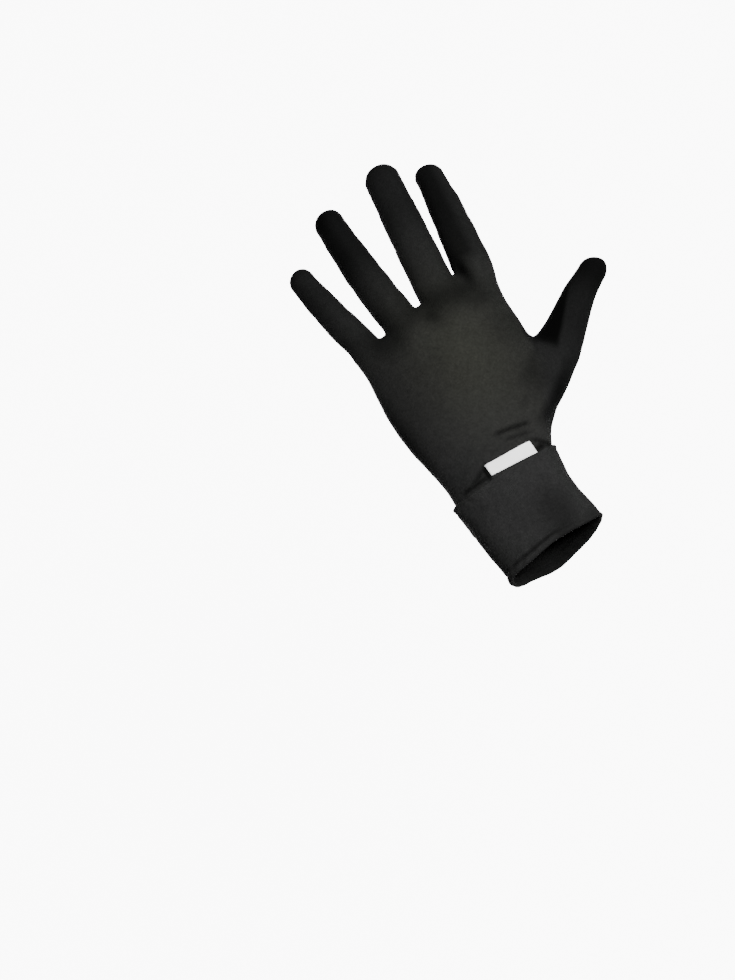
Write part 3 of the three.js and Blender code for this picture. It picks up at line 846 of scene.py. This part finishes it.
def cuff_profile():
    """One round of the band's wall: share of the length and depth, from the front to the top edge."""
    outer = np.linspace(0.018, 0.982, 66)
    turn = np.linspace(0, math.pi, 10)[1:-1]
    half = CUFF_WALL / 2
    profile = [(t, 0.0) for t in outer]
    profile += [(outer[-1] + half / CUFF_LENGTH * math.sin(a), -half * (1 - math.cos(a))) for a in turn]
    profile += [(t, -CUFF_WALL) for t in outer[::-1]]
    profile += [(outer[0] - half / CUFF_LENGTH * math.sin(a), -half * (1 + math.cos(a))) for a in turn]
    return profile


def ridge(at, row):
    """A soft ridge across the cuff, or a groove where its height is negative."""
    middle, reach, height = row
    return height * bell(at, middle, reach)


def cuff_relief(angle, at, under):
    """How far the band stands out from its plain form at one place along it, all round."""
    bulge = FOLD_BULGE * under**0.8 * (step(0.03, 0.24, at) - step(0.325, 0.365, at))
    lip = under * ridge(at, FOLD_LIP)
    hem = ridge(at, HEM_ROLL) + ridge(at, HEM_GROOVE)
    hem = hem * (1 - 0.85 * step(0.25, 0.85, np.cos(angle)))
    girdle = 0.35 * np.sin(3 * angle + 1.1) * step(0.2, 0.9, at) + 0.2 * np.sin(7 * angle + 8 * at)
    near_ends = 0.25 + step(0.8, 1.0, at) + step(0.2, 0.0, at)
    ripple = 0.16 * np.sin(23 * angle + 5 * np.sin(9 * at)) * near_ends
    return bulge + lip + hem + ridge(at, TOP_GROOVE) + girdle + ripple


def cuff_shade(angle, at, under, inset):
    """Painted shade on the band at one place along it, all round: in the hem's groove, in the listed areas
    of its front and near the hem on the palm side.
    """
    front = np.clip(np.sin(angle), 0, None)
    middle = HEM_GROOVE[0]
    areas = [0.7 * front * bell(at, middle, 0.02) * step(0.7, 0.2, np.cos(angle))]
    for amount, place, reach, begin, full in CUFF_SHADES:
        areas.append(amount * step(begin, full, at) * bell(angle, place, reach))
    outside = np.maximum.reduce(areas) * (inset > -CUFF_WALL / 2)
    return np.maximum(outside, 0.6 * under**0.5 * step(0.8, 0.95, at))


def make_cuff():
    """The double band: out over the front, round the hem, up the inside and over the top edge."""
    around = 224
    angle, girth = even_angles(around)
    rows = np.array(CUFF_ROWS)
    profile = cuff_profile()
    under = np.clip(-np.sin(angle), 0, None)
    points, uv, shade = [], [], []
    for t, inset in profile:
        at = min(max(t, 0.0), 1.0)
        left, right = (smooth_curve(rows[:, 0], rows[:, i], at) * HEM_WIDTH / 2 for i in (1, 2))
        top, bottom = (smooth_curve(rows[:, 0], rows[:, i], at) * HEM_DEPTH / 2 for i in (3, 4))
        # The hem is pinched into corners at its sides, more so on the thumb's side
        flattened = (0.5 + 0.22 * np.cos(angle)) * step(0.6, 1.0, at)
        x, z = section_ring(angle, left, right, top, bottom, SECTION_POWER - flattened)
        dx, dz = np.roll(x, -1) - np.roll(x, 1), np.roll(z, -1) - np.roll(z, 1)
        size = np.hypot(dx, dz)
        out = cuff_relief(angle, at, under) + inset
        x, z = x + dz / size * out, z - dx / size * out
        tilt = math.tan(math.radians(SEAM_TILT + (HEM_TILT - SEAM_TILT) * at))
        rise = math.tan(math.radians(SEAM_LEAN + (HEM_LEAN - SEAM_LEAN) * at))
        wave = 0.35 * np.sin(5 * angle + 0.6) + 0.3 * np.sin(2 * angle + 2.0)
        y = -t * CUFF_LENGTH + tilt * x + rise * z + wave * (0.5 + 0.5 * at)
        longer = sum(amount * bell(x, middle, reach) for middle, reach, amount in HEM_SAGS)
        y = y - longer * under**0.6 * step(0.7, 1.0, at)
        points.append(np.stack([x, y, z], 1))
        uv.append(np.stack([angle / (2 * math.pi) * girth, np.full(around, -t * CUFF_LENGTH)], 1))
        # Painted shade of the band
        shade.append(cuff_shade(angle, at, under, inset))

    i, j = np.meshgrid(np.arange(len(profile)), np.arange(around), indexing="ij")
    next_i, next_j = (i + 1) % len(profile), (j + 1) % around
    corners = [i * around + j, i * around + next_j, next_i * around + next_j, next_i * around + j]
    quads = np.stack(corners, -1).reshape(-1, 4)
    points, uv, shade = np.concatenate(points), np.concatenate(uv), np.concatenate(shade)
    return build_mesh("cuff_band", points, quads, uv, {"shade": shade})


def back_height(x, y):
    """Height of the back of the hand over a place near the wrist."""
    low, high = np.zeros_like(x), np.full_like(x, 30.0)
    for _ in range(24):
        mid = (low + high) / 2
        inside = relief_field(np.stack([x, y, mid], -1)) < 0
        low, high = np.where(inside, mid, low), np.where(inside, high, mid)
    return (low + high) / 2


def make_tag():
    """The folded woven tape that stands in the seam and leans on the back of the hand."""
    columns, rows = 56, 16
    u, v = np.linspace(-0.5, 0.5, columns + 1), np.linspace(0, 1, rows + 1)
    uu, vv = np.meshgrid(u, v, indexing="ij")
    x = TAG_X + TAG_LENGTH * uu
    seam = TAG_OFF_SEAM + math.tan(math.radians(SEAM_LEAN)) * TAG_Z
    seam = seam + math.tan(math.radians(SEAM_TILT)) * TAG_X
    y = seam + math.tan(math.radians(TAG_SLOPE)) * (x - TAG_X) + TAG_WIDTH * vv + 0.5 * (2 * uu) ** 2
    lift = 0.45 + 1.1 * vv**1.4 + 0.35 * np.sin(5.2 * uu + 0.8) * vv - 0.25 * step(0.4, 0.5, np.abs(uu))
    lower = np.stack([x, y, back_height(x, y) + lift], -1)
    upper = lower + np.array([0, 0, TAG_THICKNESS])
    edge = np.maximum(np.abs(uu) * 2, np.abs(vv * 2 - 1)) > 0.985
    upper[..., 2] -= 0.28 * edge
    lower[..., 2] += 0.12 * edge
    index = np.arange((columns + 1) * (rows + 1)).reshape(columns + 1, rows + 1)
    shift = index.size
    a, b, c, d = index[:-1, :-1], index[1:, :-1], index[1:, 1:], index[:-1, 1:]
    over = np.stack([a, b, c, d], -1).reshape(-1, 4) + shift
    under = np.stack([d, c, b, a], -1).reshape(-1, 4)
    loop = np.concatenate([index[:, 0], index[-1, 1:], index[-2::-1, -1], index[0, -2:0:-1]])
    following = np.roll(loop, -1)
    wall = np.stack([loop, following, following + shift, loop + shift], -1)
    points = np.concatenate([lower.reshape(-1, 3), upper.reshape(-1, 3)])
    uv = np.tile(np.stack([x, y], -1).reshape(-1, 2), (2, 1))
    return build_mesh("tag_tape", points, np.concatenate([over, under, wall]), uv)


def set_range(node, *values):
    """Sets a Map Range node: from and to of what comes in, then of what goes out."""
    for name, value in zip(("From Min", "From Max", "To Min", "To Max"), values):
        node.inputs[name].default_value = value


def make_stage():
    """A plain pale floor under the glove that glows, most in the middle: a painted pool of light that also
    lights the glove.
    """
    mesh = bpy.data.meshes.new("floor")
    sides = ((-1, -1), (1, -1), (1, 1), (-1, 1))
    corners = [(x * FLOOR_REACH, y * FLOOR_REACH, FLOOR_LEVEL) for x, y in sides]
    mesh.from_pydata(corners, [], [(0, 1, 2, 3)])
    floor = bpy.data.objects.new("floor", mesh)
    bpy.context.scene.collection.objects.link(floor)
    g = Graph("floor")
    split = g.node("ShaderNodeSeparateXYZ")
    g.put(split.inputs[0], g.node("ShaderNodeTexCoord").outputs["Object"])
    x, y = (g.math("SUBTRACT", split.outputs[i], GLOW_MIDDLE[i]) for i in (0, 1))
    away = g.math("SQRT", g.math("ADD", g.math("MULTIPLY", x, x), g.math("MULTIPLY", y, y)))
    pool = g.node("ShaderNodeMapRange", interpolation_type="SMOOTHSTEP")
    g.put(pool.inputs["Value"], away)
    set_range(pool, *GLOW_FADE, FLOOR_GLOW, BACKDROP)
    g.bsdf.inputs["Base Color"].default_value = (0.5, 0.5, 0.5, 1)
    g.bsdf.inputs["Roughness"].default_value = 0.9
    # The floor glows: a painted pool of light, brightest in the middle and fading outwards
    g.bsdf.inputs["Emission Color"].default_value = (1, 1, 1, 1)
    g.put(g.bsdf.inputs["Emission Strength"], pool.outputs[0])
    mesh.materials.append(g.material)


def make_world():
    """A dim room that turns pale towards the horizon, so that it carries on from the floor."""
    world = bpy.data.worlds.new("world")
    world.use_nodes = True
    tree = world.node_tree
    split = tree.nodes.new("ShaderNodeSeparateXYZ")
    tree.links.new(tree.nodes.new("ShaderNodeTexCoord").outputs["Generated"], split.inputs[0])
    fade = tree.nodes.new("ShaderNodeMapRange")
    fade.interpolation_type = "SMOOTHSTEP"
    tree.links.new(split.outputs[2], fade.inputs["Value"])
    set_range(fade, 0.0, HORIZON, BACKDROP, ROOM)
    background = tree.nodes["Background"]
    background.inputs[0].default_value = (1, 1, 1, 1)
    tree.links.new(fade.outputs[0], background.inputs[1])
    bpy.context.scene.world = world


def area_light(name, place, size, power):
    """A round soft lamp that shines on the glove."""
    data = bpy.data.lights.new(name, "AREA")
    data.shape = "DISK"
    data.size = size
    data.energy = power
    light = bpy.data.objects.new(name, data)
    light.location = place
    light.rotation_mode = "QUATERNION"
    light.rotation_quaternion = (Vector(LAMP_TARGET) - Vector(place)).to_track_quat("-Z", "Y")
    bpy.context.scene.collection.objects.link(light)


def make_camera():
    """Looks down at the back of the hand over the forearm, turned so that the fingers point up and left."""
    height, turn = math.radians(CAMERA_HEIGHT), math.radians(CAMERA_TURN)
    back = Vector((0, -math.cos(height), math.sin(height)))
    level, ahead = Vector((1, 0, 0)), Vector((0, math.sin(height), math.cos(height)))
    right = math.cos(turn) * level - math.sin(turn) * ahead
    up = math.sin(turn) * level + math.cos(turn) * ahead
    data = bpy.data.cameras.new("camera")
    data.lens = CAMERA_LENS
    data.sensor_width = CAMERA_SENSOR
    camera = bpy.data.objects.new("camera", data)
    axes = Matrix((right, up, back)).transposed().to_4x4()
    camera.matrix_world = Matrix.Translation(Vector(CAMERA_PLACE)) @ axes
    bpy.context.scene.collection.objects.link(camera)
    bpy.context.scene.camera = camera


skin = make_skin()
cuff = make_cuff()
tag = make_tag()

skin.data.materials.append(knit_material("jersey", KNIT_DARK, KNIT_LIGHT, True))
cuff.data.materials.append(knit_material("cuff jersey", KNIT_DARK, CUFF_LIGHT, False))
tag.data.materials.append(tape_material())

for piece, names, finish in (
    (skin, ("hand", "index_finger", "middle_finger", "ring_finger", "little_finger", "thumb"), "knit"),
    (cuff, ("cuff",), "cuff_knit"),
    (tag, ("tag",), "tape"),
):
    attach(piece, "root")
    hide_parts(*names)

make_stage()
make_camera()
for lamp in LAMPS:
    area_light(*lamp)
make_world()
